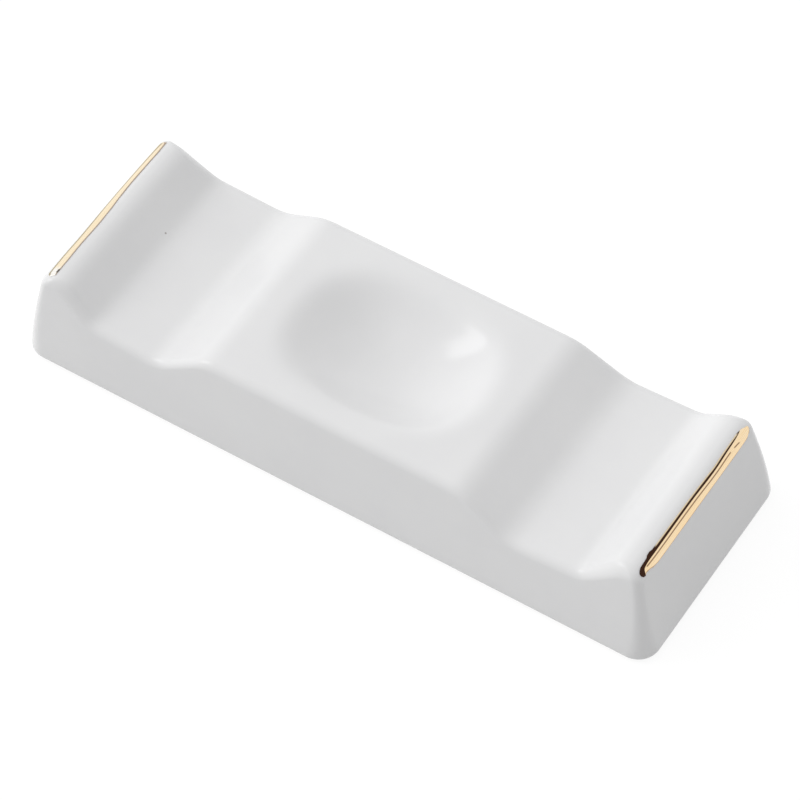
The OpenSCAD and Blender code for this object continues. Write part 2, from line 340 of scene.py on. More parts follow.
    def corner_column(self, phi: float) -> Column:
        """Give the column at an angle round the corner, from 0 on the side to 90 on the end."""
        return Column(self.straight_x + (self.crest_x - self.straight_x) * sind(phi), phi)

    def columns(self, side_steps: int, corner_steps: int) -> list[Column]:
        """Give the columns of a quarter, from the middle of the side to the end.

        Args:
            side_steps: Steps along the side.
            corner_steps: Steps round the corner.

        Returns:
            One more column than there are steps.
        """
        side = [Column(self.straight_x * k / side_steps) for k in range(side_steps + 1)]
        corner = [self.corner_column(90 * k / corner_steps) for k in range(1, corner_steps + 1)]
        return side + corner

    def draft(self, column: Column) -> float:
        """Give the draft of the wall below a column."""
        return self.side_draft + (self.end_draft - self.side_draft) * sind(column.phi) ** 2

    def level(self, column: Column, station: Station, growth: float) -> Level:
        """Give how a station lies on the wall of its column.

        Args:
            column: Where it lies round the outline.
            station: How far down it lies.
            growth: How far outside the glaze it lies.

        Returns:
            Its height and its turn back from the wall.
        """
        draft = self.draft(column)
        foot_roll = self.foot_r + growth
        wall_foot = self.foot_r + foot_roll * sind(draft)
        if station.zone is Zone.FOOT:
            turn = 90 + (draft if station.share < 1 else self.glaze_turn) * (station.share - 1)
            height = self.foot_r + foot_roll * cosd(turn)
            return Level(height, wall_foot, cosd(draft) - sind(turn), foot_roll, foot_roll)
        edge_roll = self.edge_r + (self.crest_r - self.edge_r) * sind(column.phi) ** 2 + growth
        edge_z = self.profile(column.x) + growth - edge_roll
        wall_top = edge_z + edge_roll * sind(draft)
        if station.zone is Zone.WALL:
            wall_z = wall_top + (wall_foot - wall_top) * station.share
            return Level(wall_z, wall_z, 0.0, 0.0, 0.0)
        turn = (90 - draft) * station.share
        height = edge_z + edge_roll * cosd(turn)
        back = cosd(draft) - sind(turn)
        return Level(height, wall_top, back, self.crest_r + growth, self.edge_r + growth)

    def skin(self, column: Column, station: Station, growth: float) -> Vector:
        """Give a place on the outside.

        Args:
            column: Where it lies round the outline.
            station: How far down it lies.
            growth: How far outside the glaze it lies.

        Returns:
            The place in the quarter where x and y are positive.
        """
        level = self.level(column, station, growth)
        fade = max(0.0, 1 - level.wall_z / self.plateau_h) ** self.corner_fade
        tightening = self.corner_tighten * level.back / cosd(self.draft(column))
        corner = self.corner_wall_r + (self.corner_base_r - self.corner_wall_r) * fade - tightening + growth
        end_wall = self.wall_x + growth / cosd(self.end_draft) - level.wall_z * tand(self.end_draft)
        side_wall = self.wall_y + growth / cosd(self.side_draft) - level.wall_z * tand(self.side_draft)
        reach_x = end_wall - level.back * level.roll_x - corner
        x = column.x
        if column.phi > 0:
            x = reach_x + corner * sind(column.phi)
        elif column.x > self.hold_x:
            spread = (reach_x - self.hold_x) / (self.straight_x - self.hold_x)
            x = self.hold_x + (column.x - self.hold_x) * spread
        y = side_wall - level.back * level.roll_y - corner + corner * cosd(column.phi)
        return Vector((x, y, level.height))

    def floor(self, column: Column, growth: float) -> Vector:
        """Give the place on the table straight below the glaze's edge."""
        edge = self.skin(column, Station(Zone.FOOT, 2.0), growth)
        return Vector((edge.x, edge.y, 0.0))

    def outside(self, growth: float, edge_steps: int, wall_steps: int, foot_steps: int) -> list[Place]:
        """Give the rings of the outside below the top, in order down to the glaze's edge.

        Args:
            growth: How far outside the glaze they lie.
            edge_steps: Rings over the top edge.
            wall_steps: Rings down the wall.
            foot_steps: Rings round the lower edge.

        Returns:
            One place for each ring.
        """
        stations = [Station(Zone.EDGE, (k + 1) / edge_steps) for k in range(edge_steps)]
        stations += [Station(Zone.WALL, (k + 1) / wall_steps) for k in range(wall_steps)]
        stations += [Station(Zone.FOOT, 1 + k / foot_steps) for k in range(foot_steps + 1)]
        return [partial(self.skin, station=station, growth=growth) for station in stations]

    def hollow(self, column: Column, inset: float, height: float, growth: float) -> Vector:
        """Give a place on the hollow underneath.

        Args:
            column: Where it lies round the outline.
            inset: How far inside the hollow's mouth it lies.
            height: Its height above the table.
            growth: How far inside the clay it lies.

        Returns:
            The place in the quarter where x and y are positive.
        """
        corner = self.recess_corner_r + growth - inset
        half_x = self.mouth.x - self.recess_corner_r
        half_y = self.mouth.y - self.recess_corner_r
        x = half_x + corner * sind(column.phi) if column.phi else half_x * column.x / self.straight_x
        return Vector((x, half_y + corner * cosd(column.phi), height))

    def inside(self, lowest: float, growth: float, steps: int) -> list[Place]:
        """Give the rings of the hollow, in order up to its ceiling.

        Args:
            lowest: Height of the lowest ring.
            growth: How far inside the clay they lie.
            steps: Rings round the edge of the ceiling.

        Returns:
            One place for each ring.
        """
        roll = self.recess_edge_r + growth
        centre_z = self.recess_depth - self.recess_edge_r
        draft = self.recess_draft
        wall_z = centre_z + roll * sind(draft)
        rings = [partial(self.hollow, inset=lowest * tand(draft), height=lowest, growth=growth)]
        for k in range(steps + 1):
            turn = (90 - draft) * (1 - k / steps)
            inset = wall_z * tand(draft) + roll * (cosd(draft) - sind(turn))
            height = centre_z + roll * cosd(turn)
            rings.append(partial(self.hollow, inset=inset, height=height, growth=growth))
        return rings

    def crest(self, distance: float, turn: float, growth: float) -> Vector:
        """Give a place on the right crest.

        Args:
            distance: Distance along the crest from its middle.
            turn: Angle from the top of the crest down its outer side.
            growth: How far outside the glaze it lies.

        Returns:
            The place.
        """
        station = Station(Zone.EDGE, turn / (90 - self.end_draft))
        straight = self.skin(self.corner_column(90), Station(Zone.EDGE, 0.0), 0.0).y
        past = abs(distance) - straight
        if past <= 0:
            place = self.skin(self.corner_column(90), station, growth)
            return Vector((place.x, place.y * distance / straight, place.z))
        place = self.skin(self.corner_column(90 - math.degrees(past / self.corner_wall_r)), station, growth)
        return Vector((place.x, math.copysign(place.y, distance), place.z))


class Sheet:
    """A grid that is laid over a form and carried on from its edge, ring by ring."""

    def __init__(self, columns: Sequence[Column], half_rows: int) -> None:
        """Make the flat grid.

        Args:
            columns: Columns of a quarter of the form.
            half_rows: Rows across half of the form.
        """
        self.columns = columns
        self.bm = bmesh.new()
        self.spot = self.bm.verts.layers.float_vector.new("spot")
        reach = len(columns) - 1
        bmesh.ops.create_grid(self.bm, x_segments=2 * reach, y_segments=2 * half_rows, size=1.0)
        for vert in self.bm.verts:
            vert[self.spot] = (vert.co.x * reach, vert.co.y, 0.0)
        self.edge = [edge for edge in self.bm.edges if edge.is_boundary]

    def put(self, verts: Iterable[BMVert], place: Place) -> None:
        """Move vertices to their places, mirrored into all four quarters.

        Args:
            verts: Vertices of the grid or of one ring.
            place: Gives the place of a column.
        """
        points = [place(column) for column in self.columns]
        for vert in verts:
            along, across, _ = vert[self.spot]
            point = points[round(abs(along))]
            vert.co = (math.copysign(point.x, along), across * point.y, point.z)

    def lay(self, place: Place) -> None:
        """Lay the grid on the form."""
        self.put(self.bm.verts, place)

    def lay_top(self, form: RestForm, growth: float) -> None:
        """Lay the grid over the top of the rest and press the dish into it.

        Args:
            form: Form of the rest.
            growth: How far outside the glaze it lies.
        """
        self.lay(partial(form.skin, station=Station(Zone.EDGE, 0.0), growth=growth))
        for vert in self.bm.verts:
            vert.co.z -= form.dish(vert.co.x, vert.co.y)

    def carry(self, places: Iterable[Place]) -> None:
        """Extrude the edge once for each place in turn.

        Args:
            places: Rings in order, from the grid outwards.
        """
        for place in places:
            grown = bmesh.ops.extrude_edge_only(self.bm, edges=self.edge)["geom"]
            fresh = {item for item in grown if isinstance(item, BMVert)}
            edges = (item for item in grown if isinstance(item, BMEdge))
            self.edge = [edge for edge in edges if fresh.issuperset(edge.verts)]
            self.put(fresh, place)

    def finish(self) -> BMesh:
        """Drop the helper layer and give up the mesh."""
        self.bm.verts.layers.float_vector.remove(self.spot)
        return self.bm


def add_thickness(bm: BMesh, thickness: float) -> None:
    """Turn an open sheet so that it looks up, and thicken it downwards into a closed shell.

    Args:
        bm: Open sheet.
        thickness: Thickness of the shell.
    """
    bmesh.ops.recalc_face_normals(bm, faces=bm.faces[:])
    if sum(face.normal.z * face.calc_area() for face in bm.faces) < 0:
        bmesh.ops.reverse_faces(bm, faces=bm.faces[:])
    bmesh.ops.solidify(bm, geom=bm.faces[:], thickness=thickness)


# Degrees past which an edge is sharp, and the steps of its rounding.
SHARP_TURN = 40.0
ROUND_STEPS = 2


def round_sharp_edges(bm: BMesh, offset: float) -> None:
    """Bevel every edge that turns sharply.

    Args:
        bm: Closed mesh.
        offset: Width of the bevel.
    """
    sharp_turn = math.radians(SHARP_TURN)
    sharp = [edge for edge in bm.edges if edge.is_manifold and edge.calc_face_angle() > sharp_turn]
    bmesh.ops.bevel(
        bm, geom=sharp, offset=offset, offset_type="OFFSET", segments=ROUND_STEPS,
        profile=0.5, affect="EDGES", material=-1,
    )


def make_piece(name: str, bm: BMesh, node: str, finish: Material) -> None:
    """Turn a mesh into a piece that rides on the frame in place of a CAD node.

    Args:
        name: Name of the piece.
        bm: Its mesh, which is used up.
        node: CAD node that it stands for.
        finish: Its material.
    """
    mesh = bpy.data.meshes.new(name)
    bm.to_mesh(mesh)
    bm.free()
    mesh.shade_smooth()
    mesh.materials.append(finish)
    piece = bpy.data.objects.new(name, mesh)
    bpy.context.scene.collection.objects.link(piece)
    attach(piece, BODY)
    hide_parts(node)
    mesh.calc_loop_triangles()
    LOG.info("%s: %d triangles, stands for %s", name, len(mesh.loop_triangles), node)


class Wiring:
    """Short ways to add nodes to a tree and to join their sockets."""

    def __init__(self, tree: NodeTree) -> None:
        """Start on an emptied tree."""
        self.tree = tree
        tree.nodes.clear()

    def add(self, kind: str, inputs: Mapping[Any, Any] | None = None, **settings: Any) -> Node:
        """Add a node.

        Args:
            kind: Its type.
            inputs: A value or a socket for each input that is not left as it is.
            settings: Its own settings.

        Returns:
            The node.
        """
        node = self.tree.nodes.new(kind)
        for name, value in settings.items():
            setattr(node, name, value)
        for key, value in (inputs or {}).items():
            self.feed(node.inputs[key], value)
        return node

    def feed(self, socket: NodeSocket, value: Any) -> None:
        """Join a socket to another one, or set its value.

        Args:
            socket: The input.
            value: A socket or a plain value.
        """
        if isinstance(value, NodeSocket):
            self.tree.links.new(value, socket)
        else:
            socket.default_value = value

    def math(self, operation: str, *values: Any) -> NodeSocket:
        """Add a sum, product or the like of some values and give its result."""
        return self.add("ShaderNodeMath", dict(enumerate(values)), operation=operation).outputs[0]

    def span(
        self, value: NodeSocket, start: float, end: float, low: float = 0.0, high: float = 1.0
    ) -> NodeSocket:
        """Add a smooth step of a value, from low at the start to high at the end."""
        inputs = {"Value": value, "From Min": start, "From Max": end, "To Min": low, "To Max": high}
        return self.add("ShaderNodeMapRange", inputs, interpolation_type="SMOOTHSTEP").outputs[0]

    def blend(self, share: NodeSocket, first: Any, second: Any) -> NodeSocket:
        """Add a mix of two colours.

        Args:
            share: Share of the second colour.
            first: Colour at share 0.
            second: Colour at share 1.

        Returns:
            The mixed colour.
        """
        factor, colour_a, colour_b, result = 0, 6, 7, 2
        inputs = {factor: share, colour_a: first, colour_b: second}
        return self.add("ShaderNodeMix", inputs, data_type="RGBA").outputs[result]

    def curve(self, value: NodeSocket, points: Sequence[tuple[float, float]]) -> NodeSocket:
        """Add a drawn curve.

        Args:
            value: Where the curve is read, from 0 to 1.
            points: Its points in order.

        Returns:
            Its height there.
        """
        node = self.add("ShaderNodeFloatCurve", {"Value": value})
        drawn = node.mapping.curves[0].points
        drawn[0].location = points[0]
        drawn[1].location = points[-1]
        for point in points[1:-1]:
            drawn.new(*point)
        node.mapping.update()
        return node.outputs[0]


# Linear red, green and blue, and alpha.
Colour = tuple[float, float, float, float]


def opaque(red: float, green: float, blue: float) -> Colour:
    """Give a linear colour with full alpha."""
    return (red, green, blue, 1.0)


class SharedEffects:
    """Node groups that more than one finish uses."""

    cloud_span: tuple[float, float] = (0.3, 0.7)
    pit_span: tuple[float, float] = (0.05, 0.4)

    @staticmethod
    def start(name: str, numbers: Sequence[str], result: str) -> Wiring:
        """Start a group that takes a place and some numbers, and gives one number.

        Args:
            name: Name of the group.
            numbers: Names of the numbers that it takes.
            result: Name of what it gives.

        Returns:
            Wiring of the empty group.
        """
        group = bpy.data.node_groups.new(name, "ShaderNodeTree")
        group.interface.new_socket(name="Vector", in_out="INPUT", socket_type="NodeSocketVector")
        for number in numbers:
            group.interface.new_socket(name=number, in_out="INPUT", socket_type="NodeSocketFloat")
        group.interface.new_socket(name=result, in_out="OUTPUT", socket_type="NodeSocketFloat")
        return Wiring(group)

    @cached_property
    def mottle(self) -> NodeTree:
        """Cloudy unevenness of fired surfaces.

        Returns:
            Group that gives a value from 0 to 1.
        """
        wires = self.start("fired mottle", ("Scale",), "Mottle")
        given = wires.add("NodeGroupInput").outputs
        noise = {"Vector": given["Vector"], "Scale": given["Scale"], "Detail": 3.0, "Roughness": 0.55}
        clouds = wires.add("ShaderNodeTexNoise", noise).outputs["Fac"]
        wires.add("NodeGroupOutput", {"Mottle": wires.span(clouds, *self.cloud_span)})
        return wires.tree

    @cached_property
    def grain(self) -> NodeTree:
        """Fine relief of a fired surface: soft waves with small pits.

        Returns:
            Group that gives a height, at most 1.
        """
        wires = self.start("fired grain", ("Wave Scale", "Pit Scale", "Pit Depth"), "Height")
        given = wires.add("NodeGroupInput").outputs
        wave = {"Vector": given["Vector"], "Scale": given["Wave Scale"], "Detail": 2.0}
        waves = wires.add("ShaderNodeTexNoise", wave).outputs["Fac"]
        cell = {"Vector": given["Vector"], "Scale": given["Pit Scale"]}
        cells = wires.add("ShaderNodeTexVoronoi", cell).outputs["Distance"]
        pits = wires.math("MULTIPLY", wires.span(cells, *self.pit_span, 1.0, 0.0), given["Pit Depth"])
        wires.add("NodeGroupOutput", {"Height": wires.math("SUBTRACT", waves, pits)})
        return wires.tree


@dataclass(frozen=True)
class Grain:
    """Relief of a finish: waves and pits per metre, a pit's depth beside the waves and the waves' height."""

    waves: float
    pits: float
    pit_depth: float
    rise: float


@dataclass(frozen=True)
class Finish:
    """What every finish has: a name, and a material that is wired once."""

    name: str
    effects: SharedEffects

    def material(self) -> Material:
        """Make the material and wire it.

        Returns:
            The material.
        """
        made = bpy.data.materials.new(self.name)
        made.use_nodes = True
        wires = Wiring(made.node_tree)
        shader = wires.add("ShaderNodeBsdfPrincipled", self.sockets(wires))
        wires.add("ShaderNodeOutputMaterial", {"Surface": shader.outputs[0]})
        return made

    def sockets(self, wires: Wiring) -> dict[str, Any]:
        """Wire the finish's own nodes and give what goes into each input of the shader."""
        raise NotImplementedError

    def place(self, wires: Wiring) -> NodeSocket:
        """Add the piece's own coordinates."""
        return wires.add("ShaderNodeTexCoord").outputs["Object"]

    def clouds(self, wires: Wiring, where: NodeSocket, scale: float) -> NodeSocket:
        """Add the shared mottle at a scale per metre, or per unit of a UV map."""
        inputs = {"Vector": where, "Scale": scale}
        return wires.add("ShaderNodeGroup", inputs, node_tree=self.effects.mottle).outputs[0]

    def relief(self, wires: Wiring, where: NodeSocket, grain: Grain) -> NodeSocket:
        """Add the shared grain as a bump.

        Args:
            wires: Tree that it is added to.
            where: Coordinates.
            grain: Sizes of the relief.

        Returns:
            The bumped normal.
        """
        waves = {"Vector": where, "Wave Scale": grain.waves}
        pits = {"Pit Scale": grain.pits, "Pit Depth": grain.pit_depth}
        height = wires.add("ShaderNodeGroup", waves | pits, node_tree=self.effects.grain).outputs[0]
        return wires.add("ShaderNodeBump", {"Height": height, "Distance": grain.rise}).outputs[0]


@dataclass(frozen=True)
class WhiteGlaze(Finish):
    """Glossy white glaze with faint clouds, a slow ripple and one iron speck from the clay."""

    white: Colour = opaque(0.83, 0.83, 0.834)
    shade: Colour = opaque(0.812, 0.812, 0.818)
    cloud_scale: float = 90.0
    speck: Colour = opaque(0.2, 0.16, 0.13)
    speck_at: tuple[float, float, float] = (-38.86 * MM, 2.96 * MM, 11.6 * MM)
    speck_core_r: float = 0.085 * MM
    speck_rim_r: float = 0.238 * MM
    speck_cover: float = 0.75
    smooth: float = 0.19
    dull: float = 0.24
    grain: Grain = Grain(waves=260.0, pits=900.0, pit_depth=0.05, rise=0.012 * MM)

    def sockets(self, wires: Wiring) -> dict[str, Any]:
        """Wire the colour, the gloss and the ripple.

        Args:
            wires: The material's tree.

        Returns:
            A socket for each input of the shader that the glaze sets.
        """
        where = self.place(wires)
        clouds = self.clouds(wires, where, self.cloud_scale)
        away = {0: where, 1: self.speck_at}
        distance = wires.add("ShaderNodeVectorMath", away, operation="DISTANCE").outputs["Value"]
        spot = wires.span(distance, self.speck_core_r, self.speck_rim_r, self.speck_cover, 0.0)
        body = wires.blend(clouds, self.shade, self.white)
        return {
            "Base Color": wires.blend(spot, body, self.speck),
            "Roughness": wires.span(clouds, 0.0, 1.0, self.smooth, self.dull),
            "Normal": self.relief(wires, where, self.grain),
        }


@dataclass(frozen=True)
class BareClay(Finish):
    """Unglazed fired clay: matte, a little warm, with a fine sandy grain."""

    pale: Colour = opaque(0.78, 0.755, 0.7)
    deep: Colour = opaque(0.64, 0.605, 0.54)
    cloud_scale: float = 420.0
    sand_scale: float = 4200.0
    sand_share: float = 0.4
    smooth: float = 0.78
    dull: float = 0.94
    grain: Grain = Grain(waves=2600.0, pits=1500.0, pit_depth=0.6, rise=0.05 * MM)

    def sockets(self, wires: Wiring) -> dict[str, Any]:
        """Wire the colour, the roughness and the grain.

        Args:
            wires: The material's tree.

        Returns:
            A socket for each input of the shader that the clay sets.
        """
        where = self.place(wires)
        clouds = wires.math("MULTIPLY", self.clouds(wires, where, self.cloud_scale), 1 - self.sand_share)
        sand = self.clouds(wires, where, self.sand_scale)
        share = wires.math("ADD", clouds, wires.math("MULTIPLY", sand, self.sand_share))
        return {
            "Base Color": wires.blend(share, self.deep, self.pale),
            "Roughness": wires.span(sand, 0.0, 1.0, self.smooth, self.dull),
            "Normal": self.relief(wires, where, self.grain),
        }


@dataclass(frozen=True)
class HandLine:
    """A hand-drawn line along a crest: angles from the crest's top at distances along it, in millimetres."""

    knots: tuple[tuple[float, float], ...]

    @property
    def ends(self) -> tuple[float, float]:
        """Distances at which the line begins and ends, in metres."""
        return (self.knots[0][0] * MM, self.knots[-1][0] * MM)

    def at(self, distance: float) -> float:
        """Give the angle at a distance along the crest, eased between the knots.

        Args:
            distance: Distance from the middle of the crest, in metres.

        Returns:
            Angle from the top of the crest, in degrees.
        """
        spots = [knot[0] * MM for knot in self.knots]
        k = min(max(bisect_right(spots, distance), 1), len(spots) - 1)
        share = min(max((distance - spots[k - 1]) / (spots[k] - spots[k - 1]), 0.0), 1.0)
        eased = share * share * (3 - 2 * share)
        return self.knots[k - 1][1] + (self.knots[k][1] - self.knots[k - 1][1]) * eased

    def on_map(self) -> list[tuple[float, float]]:
        """Give the knots as places on the gilt's UV map."""
        return [gilt_uv(distance * MM, angle) for distance, angle in self.knots]


# Name of the gilt's UV map, and the length of crest and the degrees round it that the map spans.
GILT_MAP = "gilt"
GILT_MAP_L = 28 * MM
GILT_MAP_ANGLE = 80.0


def gilt_uv(distance: float, angle: float) -> tuple[float, float]:
    """Give the place on a gilt line's UV map of a distance along the crest and an angle down from its top."""
    return (0.5 + distance / GILT_MAP_L, angle / GILT_MAP_ANGLE)


@dataclass(frozen=True)
class FiredLineOrHighlight:
    """A thin line or mark drawn into the gilt's colour; most are fired lines, and the left line's white tip
    is a painted highlight.

    Half its width is in degrees round the crest. A gap is a break in it, between two distances along the
    crest in millimetres. It fades in and out over the length of the fade.
    """

    course: HandLine
    half: float
    colour: Colour
    gap: tuple[float, float] | None = None
    fade: float = 0.3 * MM
    softness: float = 0.5
    cover: float = 0.85

    def mask(self, wires: Wiring, along: NodeSocket, across: NodeSocket) -> NodeSocket:
        """Mask the line on the gilt's UV map, with a break where the brush was lifted.

        Args:
            wires: Tree that the mask is added to.
            along: Place along the gilt line.
            across: Place across it.

        Returns:
            A mask that is close to 1 on the line.
        """
        middle = wires.curve(along, self.course.on_map())
        off_line = wires.math("ABSOLUTE", wires.math("SUBTRACT", across, middle))
        half = self.half / GILT_MAP_ANGLE
        soft = half * self.softness
        line = wires.span(off_line, half - soft, half + soft, self.cover, 0.0)
        drawn = wires.math("MULTIPLY", line, self.stretch(wires, along, *self.course.ends))
        if self.gap is None:
            return drawn
        lift, drop = (spot * MM for spot in self.gap)
        broken = self.stretch(wires, along, lift - self.fade, drop + self.fade)
        return wires.math("SUBTRACT", drawn, wires.math("MULTIPLY", drawn, broken))

    def stretch(self, wires: Wiring, along: NodeSocket, start: float, end: float) -> NodeSocket:
        """Mask a stretch of the crest, fading inside both of its ends.

        Args:
            wires: Tree that the mask is added to.
            along: Place along the gilt line.
            start: Distance along the crest at which it begins.
            end: Distance at which it ends.

        Returns:
            A mask that is 1 between the fades.
        """
        spots = (start, start + self.fade, end - self.fade, end)
        begin, begun, ending, ended = (gilt_uv(spot, 0.0)[0] for spot in spots)
        fade_in = wires.span(along, begin, begun)
        return wires.math("MULTIPLY", fade_in, wires.span(along, ending, ended, 1.0, 0.0))


@dataclass(frozen=True)
class FiredGold(Finish):
    """Fired gold with thin lines and painted highlights, a dark upper outline and marks over it, all drawn on
    the UV map.
    """

    outline: HandLine
    lines: tuple[FiredLineOrHighlight, ...]
    marks: tuple[FiredLineOrHighlight, ...]
    gold: Colour = opaque(0.91, 0.67, 0.38)
    pale: Colour = opaque(0.93, 0.755, 0.52)
    streak_scale: float = 60.0
    streak_squeeze: tuple[float, float, float] = (0.06, 1.0, 1.0)
    outline_colour: Colour = opaque(0.045, 0.02, 0.012)
    outline_softness: float = 0.7
    smooth: float = 0.16
    dull: float = 0.3
    grain: Grain = Grain(waves=900.0, pits=1600.0, pit_depth=0.1, rise=0.01 * MM)

    def sockets(self, wires: Wiring) -> dict[str, Any]:
        """Wire the drawn colours and the sheen.

        Args:
            wires: The material's tree.

        Returns:
            A value or a socket for each input of the shader that the gold sets.
        """
        drawn = wires.add("ShaderNodeUVMap", uv_map=GILT_MAP).outputs[0]
        axes = wires.add("ShaderNodeSeparateXYZ", {0: drawn}).outputs
        along, across = axes["X"], axes["Y"]
        squeezed = {"Vector": drawn, "Scale": self.streak_squeeze}
        streaks = self.clouds(wires, wires.add("ShaderNodeMapping", squeezed).outputs[0], self.streak_scale)
        colour = wires.blend(streaks, self.gold, self.pale)
        # The lines include painted highlights as well as fired lines.
        for line in self.lines:
            colour = wires.blend(line.mask(wires, along, across), colour, line.colour)
        # A dark band runs along the upper edge of the gold, down to the drawn outline.
        soft = self.outline_softness / GILT_MAP_ANGLE
        past_rim = wires.math("SUBTRACT", across, wires.curve(along, self.outline.on_map()))
        outline_mask = wires.span(past_rim, -soft, soft, 1.0, 0.0)
        colour = wires.blend(outline_mask, colour, self.outline_colour)
        for mark in self.marks:
            colour = wires.blend(mark.mask(wires, along, across), colour, mark.colour)
        return {
            "Base Color": colour,
            "Metallic": 1.0,
            "Roughness": wires.span(streaks, 0.0, 1.0, self.smooth, self.dull),
            "Normal": self.relief(wires, self.place(wires), self.grain),
        }


@dataclass(frozen=True)
class ClayBody:
    """Pressed and fired clay under the coats, with the bare rim that it stands on."""

    form: RestForm
    side_steps: int = 84
    corner_steps: int = 10
    half_rows: int = 22
    rim_round: float = 0.15 * MM

    def build(self) -> BMesh:
        """Build the clay.

        Returns:
            Its closed mesh.
        """
        form = self.form
        under = -form.glaze_t
        sheet = Sheet(form.columns(self.side_steps, self.corner_steps), self.half_rows)
        sheet.lay_top(form, under)
        sheet.carry(form.outside(under, edge_steps=8, wall_steps=6, foot_steps=3))
        sheet.carry([partial(form.floor, growth=under), *form.inside(lowest=0.0, growth=0.0, steps=6)])
        bmesh.ops.edgeloop_fill(sheet.bm, edges=sheet.edge)
        bm = sheet.finish()
        bmesh.ops.recalc_face_normals(bm, faces=bm.faces[:])
        round_sharp_edges(bm, self.rim_round)
        return bm

    def dress(self, finish: Material) -> None:
        """Build the clay and make it a piece in its finish."""
        make_piece("clay_body", self.build(), "porcelain_body", finish)


@dataclass(frozen=True)
class GlazeCoats:
    """The coat over the outside and the coat in the hollow."""

    form: RestForm
    side_steps: int = 112
    corner_steps: int = 12
    half_rows: int = 30
    hollow_side_steps: int = 24
    hollow_corner_steps: int = 8
    hollow_half_rows: int = 8
    seat: float = 0.01 * MM
    lip_round: float = 0.1 * MM

    def build_outer(self) -> BMesh:
        """Build the coat over the outside.

        Returns:
            Its closed mesh.
        """
        form = self.form
        sheet = Sheet(form.columns(self.side_steps, self.corner_steps), self.half_rows)
        sheet.lay_top(form, 0.0)
        sheet.carry(form.outside(0.0, edge_steps=12, wall_steps=8, foot_steps=5))
        return self.thicken(sheet, form.glaze_t)

    def build_hollow(self) -> BMesh:
        """Build the coat in the hollow, from the ceiling down to the bare band.

        Returns:
            Its closed mesh.
        """
        form = self.form
        sheet = Sheet(form.columns(self.hollow_side_steps, self.hollow_corner_steps), self.hollow_half_rows)
        rings = form.inside(form.recess_bare, -self.seat, steps=8)
        sheet.lay(rings[-1])
        sheet.carry(reversed(rings[:-1]))
        return self.thicken(sheet, form.recess_glaze_t)

    def thicken(self, sheet: Sheet, thickness: float) -> BMesh:
        """Give a coat its thickness and a rounded lip.

        Args:
            sheet: Outer face of the coat.
            thickness: Thickness of the coat in the CAD model.

        Returns:
            Its closed mesh.
        """
        bm = sheet.finish()
        add_thickness(bm, thickness - self.seat)
        round_sharp_edges(bm, self.lip_round)
        return bm

    def dress(self, finish: Material) -> None:
        """Build both coats and make them pieces in their finish."""
        make_piece("outer_coat", self.build_outer(), "outer_glaze", finish)
        make_piece("hollow_coat", self.build_hollow(), "recess_glaze", finish)


@dataclass(frozen=True)
class GiltLine:
    """A hand-drawn line of fired gold on one crest."""

    form: RestForm
    side: Side
    upper: HandLine
    lower: HandLine
    finish: FiredGold
    along_steps: int = 260
    across_steps: int = 14
    growth: float = 0.09 * MM
    seat: float = 0.01 * MM
    edge_round: float = 0.03 * MM

    def build(self) -> BMesh:
        """Build the line.

        Returns:
            Its closed mesh, with its UV map.
        """
        bm = bmesh.new()
        spot = bm.verts.layers.float_vector.new("spot")
        bmesh.ops.create_grid(bm, x_segments=self.along_steps, y_segments=self.across_steps, size=1.0)
        start, end = self.upper.ends
        for vert in bm.verts:
            distance = start + (end - start) * (vert.co.x + 1) / 2
            above, below = self.upper.at(distance), self.lower.at(distance)
            turn = above + (below - above) * (1 - vert.co.y) / 2
            vert[spot] = (distance, turn, 0.0)
            vert.co = self.form.crest(distance, turn, self.growth)
            vert.co.x *= self.side.value
        add_thickness(bm, self.growth - self.seat)
        round_sharp_edges(bm, self.edge_round)
        uv = bm.loops.layers.uv.new(GILT_MAP)
        for face in bm.faces:
            for loop in face.loops:
                distance, turn, _ = loop.vert[spot]
                loop[uv].uv = gilt_uv(distance, turn)
        bm.verts.layers.float_vector.remove(spot)
        return bm

    def dress(self) -> None:
        """Build the line and make it a piece in its own finish."""
        end_name = self.side.name.lower()
        make_piece(f"gilt_{end_name}", self.build(), f"gilt_line_{end_name}", self.finish.material())


@dataclass(frozen=True)
class Softbox:
    """A large lamp: the direction that it stands in, its distance, its size and its power."""

    name: str
    towards: tuple[float, float, float]
    distance: float
    size: float
    power: float

    def hang(self, aim: Vector) -> None:
        """Hang the lamp so that it faces the rest.

        Args:
            aim: Point that it faces.
        """
        light = bpy.data.lights.new(self.name, "AREA")
        light.shape = "SQUARE"
        light.size = self.size
        light.energy = self.power
        lamp = bpy.data.objects.new(self.name, light)
        direction = Vector(self.towards).normalized()
        lamp.location = aim + direction * self.distance
        lamp.rotation_euler = direction.to_track_quat("Z", "Y").to_euler()
        lamp.visible_camera = False
        bpy.context.scene.collection.objects.link(lamp)


@dataclass(frozen=True)
class SkyGlow:
    """A broad bright part of the sky: the direction of its middle and its strength there."""

    towards: tuple[float, float, float]
    strength: float
    narrowing: float = 3.0

    def add_to(self, wires: Wiring, way: NodeSocket) -> NodeSocket:
        """Add the glow to the world.

        Args:
            wires: The world's tree.
            way: Direction that is looked in.

        Returns:
            Strength in that direction.
        """
        ways = {0: way, 1: Vector(self.towards).normalized()}
        facing = wires.add("ShaderNodeVectorMath", ways, operation="DOT_PRODUCT").outputs["Value"]
        lobe = wires.math("POWER", wires.math("MAXIMUM", facing, 0.0), self.narrowing)
        return wires.math("MULTIPLY", lobe, self.strength)


